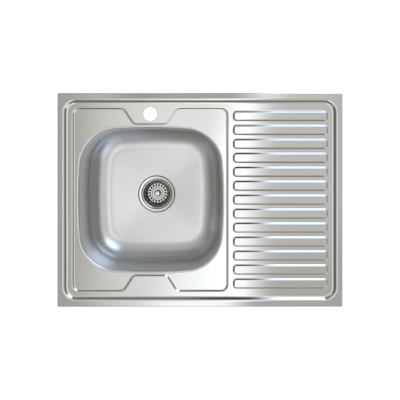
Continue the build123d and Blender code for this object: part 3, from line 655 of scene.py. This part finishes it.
# Knob: a turned neck and a head with a flat top
knobSize = dict(play=0.3, bore=3.02, neck=4.4, neckHeight=3.5, footBlend=0.3, flareBlend=2.0, head=7.4,
                headFoot=6.2, height=11, headBlend=1.0, tip=0.4)
size = knobSize
knobZ = hubZ + size["play"]
topZ = knobZ + size["height"]
knob = Surface()
knobLine = bentLine([(size["bore"], knobZ), (size["neck"], knobZ), (size["neck"], knobZ + size["neckHeight"]),
                     (size["head"], knobZ + size["headFoot"]), (size["head"], topZ), (size["tip"], topZ)],
                    [size["footBlend"], size["flareBlend"], size["headBlend"], size["headBlend"]], steps=8)
knobLoops = lathe(knob, knobLine, wasteAngles)
knob.strips(knobLoops[::-1])
knob.cap(knobLoops[-1], (bowlX, 0, topZ))
knobPiece = knob.build("knobTurned")
knobPiece.data.materials.append(wasteSteel)
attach(knobPiece, "plug")
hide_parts("basket_knob")
print("stage: waste and basket")

# The other nodes keep their solids and take a material
nodeMaterials = [
    (zinc, ["bracket_front_left", "bracket_rear_left", "bracket_front_right", "bracket_rear_right"]),
    (rubber, ["flange_seal", "body_seal", "stopper", "stem_o_ring"]),
    (plastic, ["waste_housing", "outlet_spigot"]),
    (brass, ["housing_insert"]),
    (wasteSteel, ["clamp_screw", "screw_washer", "basket_stem", "stopper_washer", "stem_clip"]),
]
for material, names in nodeMaterials:
    for name in names:
        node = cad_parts[name]
        node.data.materials.clear()
        node.data.materials.append(material)
print("stage: other nodes")


# 1 for what the eye sees straight, in metal or through a clear piece
def seenRays(tree):
    path = addNode(tree, "LightPath").node.outputs
    seen = addNode(tree, "Math", {0: path["Is Camera Ray"], 1: path["Is Glossy Ray"]}, operation="MAXIMUM")
    return addNode(tree, "Math", {0: seen, 1: path["Is Transmission Ray"]}, operation="MAXIMUM")


# Floor: white to the eye, and it keeps a soft shadow
floorLook = dict(reach=30000, gap=0.5, colour="#e8e8e6", glow=0.75)
floorLevel = cadBox[0][2] / mm - floorLook["gap"]
floorCorners = rectangle(2 * floorLook["reach"], 2 * floorLook["reach"])
floorPlace = np.column_stack([floorCorners, [floorLevel] * 4]) * mm
floorMesh = bpy.data.meshes.new("floor")
floorMesh.from_pydata(floorPlace.tolist(), [], [(0, 1, 2, 3)])
floor = bpy.data.objects.new("floor", floorMesh)
bpy.context.scene.collection.objects.link(floor)
floorMaterial = bpy.data.materials.new("floor painted white")
floorMaterial.use_nodes = True
tree = floorMaterial.node_tree
tree.nodes.clear()
matt = addNode(tree, "BsdfDiffuse", {"Color": linear(floorLook["colour"])})
glow = addNode(tree, "Emission", {"Strength": floorLook["glow"]})
both = addNode(tree, "AddShader", {0: matt, 1: glow})
paint = addNode(tree, "MixShader", {0: seenRays(tree), 1: matt, 2: both})
addNode(tree, "OutputMaterial", {"Surface": paint})
floorMesh.materials.append(floorMaterial)

# Studio light: a pale ceiling with one broad bright strip, warm grey walls with a dark foot, two bluish
# windows on the right and a white backdrop round the floor's far edge
roomLook = dict(dimTint=(1.0, 0.98, 0.945, 1), brightTint=(0.97, 1.0, 1.01, 1), wallTint=(1.05, 1.0, 0.93, 1),
                footDark=(0.07, 0.07, 0.075, 1), footBrown=(0.22, 0.19, 0.155, 1),
                footPale=(0.44, 0.44, 0.45, 1), rearWindow=(1.88, 2.34, 3.05, 1),
                frontWindow=(1.05, 1.25, 1.6, 1), backdrop=(1, 1, 1, 1), leastUp=0.12)
world = bpy.data.worlds.new("studio")
bpy.context.scene.world = world
world.use_nodes = True
tree = world.node_tree
tree.nodes.clear()
direction = addNode(tree, "TexCoord").node.outputs["Generated"]
dx, dy, dz = addNode(tree, "SeparateXYZ", {0: direction}).node.outputs


# a part of the room: 1 inside its soft edges, 0 outside; each edge is a measure, where it starts and ends
def roomPart(*edges):
    part = 1.0
    for measure, start, end in edges:
        edge = addNode(tree, "MapRange", {0: measure, 1: start, 2: end}, interpolation_type="SMOOTHSTEP")
        part = addNode(tree, "Math", {0: part, 1: edge}, operation="MULTIPLY")
    return part


# a level of light: a base, and what each part of the room adds to it
def roomLevel(base, *shares):
    for part, amount in shares:
        base = addNode(tree, "Math", {0: part, 1: amount, 2: base}, operation="MULTIPLY_ADD")
    return base


# lean: how far a direction goes to the right and to the rear for one unit up
up = addNode(tree, "Math", {0: dz, 1: roomLook["leastUp"]}, operation="MAXIMUM")
leanX = addNode(tree, "Math", {0: dx, 1: up}, operation="DIVIDE")
leanY = addNode(tree, "Math", {0: dy, 1: up}, operation="DIVIDE")

# the ceiling: darker to the left, one broad bright strip that narrows to the rear, a plain grey right half
stripLeft = roomLevel(0.045, (leanY, 0.35))
stripRight = roomLevel(0.137, (roomPart((leanY, 0.08, 0.28)), 0.07), (roomPart((leanY, 0.06, -0.1)), -0.007),
                       (roomPart((leanY, -0.38, -0.52)), -0.03))
inStrip = roomPart((roomLevel(leanX, (stripLeft, -1.0)), -0.06, 0.06))
pastStrip = roomPart((roomLevel(leanX, (stripRight, -1.0)), -0.045, 0.055))
leftLevel = roomLevel(0.57, (roomPart((leanX, -0.36, -0.19)), 0.43), (roomPart((leanX, -0.22, -0.05)), 0.22))
rearLevel = roomLevel(1.0, (roomPart((leanY, 0.15, 0.26), (leanX, -0.32, -0.16)), -0.55))
leftLevel = roomLevel(0.0, (leftLevel, rearLevel))
frontStrip = roomPart((leanY, -0.12, -0.28), (leanY, -0.48, -0.38), (leanX, -0.02, 0.08))
stripLevel = roomLevel(0.3, (roomPart((leanY, -0.28, 0.08)), 0.45), (frontStrip, 0.3))
leftLevel = roomLevel(leftLevel, (inStrip, stripLevel))
rightLevel = roomLevel(0.62, (roomPart((leanY, -0.38, -0.1)), 0.18))
rightLevel = roomLevel(rightLevel, (rightLevel, roomLevel(0.0, (roomPart((leanX, 0.3, 0.46)), -0.08))))
ceiling = roomLevel(leftLevel, (pastStrip, roomLevel(rightLevel, (leftLevel, -1.0))))
# dim parts of the ceiling are warm, bright parts faintly blue
tint = addNode(tree, "Mix", {"Factor": roomPart((ceiling, 0.6, 1.25)), "A": roomLook["dimTint"],
                             "B": roomLook["brightTint"]}, data_type="RGBA")
ceiling = addNode(tree, "Mix", {"Factor": 1.0, "A": ceiling, "B": tint}, data_type="RGBA",
                  blend_type="MULTIPLY")

# the walls: lighter to the right, dark behind, with a nearly black foot that is brownish in front
wall = roomLevel(0.3, (roomPart((dx, -0.7, 0.7)), 0.5))
wall = roomLevel(0.0, (wall, roomLevel(1.0, (roomPart((dx, -0.05, 0.04), (dy, 0.3, 0.6)), -0.75))))
foot = addNode(tree, "Mix", {"Factor": roomPart((dy, -0.25, -0.7)), "A": roomLook["footDark"],
                             "B": roomLook["footBrown"]}, data_type="RGBA")
# each wall is dark in its middle only: towards the room's corners it is pale down to the floor
sizeX = addNode(tree, "Math", {0: dx}, operation="ABSOLUTE")
sizeY = addNode(tree, "Math", {0: dy}, operation="ABSOLUTE")
lesser = addNode(tree, "Math", {0: sizeX, 1: sizeY}, operation="MINIMUM")
level = addNode(tree, "Math", {0: roomLevel(1.0001, (roomLevel(0.0, (dz, dz)), -1.0))}, operation="SQRT")
corner = roomPart((addNode(tree, "Math", {0: lesser, 1: level}, operation="DIVIDE"), 0.36, 0.56))
foot = addNode(tree, "Mix", {"Factor": corner, "A": foot, "B": roomLook["footPale"]}, data_type="RGBA")
wall = addNode(tree, "Math", {0: wall, 1: roomLevel(0.0, (corner, 0.5))}, operation="MAXIMUM")
wall = addNode(tree, "Mix", {"Factor": 1.0, "A": wall, "B": roomLook["wallTint"]}, data_type="RGBA",
               blend_type="MULTIPLY")
# the foot reaches higher on the right
wallRise = roomPart((roomLevel(dz, (roomPart((dx, 0.2, 0.55)), -0.1)), 0.28, 0.5))
sky = addNode(tree, "Mix", {"Factor": wallRise, "A": foot, "B": wall}, data_type="RGBA")
sky = addNode(tree, "Mix", {"Factor": roomPart((dz, 0.70, 0.87)), "A": sky, "B": ceiling}, data_type="RGBA")

# a large bluish window behind and to the right, and a dimmer one in front and to the right
rearWindow = roomPart((dx, 0.11, 0.19), (dx, 0.75, 0.6), (leanY, 0.45, 0.7), (dz, 0.12, 0.28))
frontWindow = roomPart((dx, 0.38, 0.52), (dy, -0.28, -0.42), (dz, 0.2, 0.36))
sky = addNode(tree, "Mix", {"Factor": rearWindow, "A": sky, "B": roomLook["rearWindow"]}, data_type="RGBA")
sky = addNode(tree, "Mix", {"Factor": frontWindow, "A": sky, "B": roomLook["frontWindow"]}, data_type="RGBA")

# the white backdrop, for the eye and in metal; it is lower in front
frontward = addNode(tree, "Math", {0: dy, 1: level}, operation="DIVIDE")
backdropTop = roomLevel(0.15, (roomPart((frontward, -0.925, -0.955)), -0.095))
backdrop = roomLevel(0.0, (seenRays(tree), roomPart((roomLevel(dz, (backdropTop, -1.0)), 0.0, -0.015))))
sky = addNode(tree, "Mix", {"Factor": backdrop, "A": sky, "B": roomLook["backdrop"]}, data_type="RGBA")
light = addNode(tree, "Background", {"Color": sky, "Strength": 1.0})
addNode(tree, "OutputWorld", {"Surface": light})
print("stage: light")

# Camera: straight down, a little behind the middle, with the frame shifted back over the sink
view = dict(sensor=36, pixels=400, perPixel=2.794, distance=1103.0, behind=125.5)
cameraData = bpy.data.cameras.new("camera")
camera = bpy.data.objects.new("camera", cameraData)
bpy.context.scene.collection.objects.link(camera)
cameraData.sensor_width = view["sensor"]
cameraData.lens = view["sensor"] * view["distance"] / (view["pixels"] * view["perPixel"])
cameraData.shift_y = -view["behind"] / (view["pixels"] * view["perPixel"])
camera.location = (0, (middleY + view["behind"]) * mm, (rimZ + view["distance"]) * mm)
bpy.context.scene.camera = camera
bpy.context.scene.view_settings.view_transform = "Standard"

bpy.context.view_layer.update()
print("stage: finished")
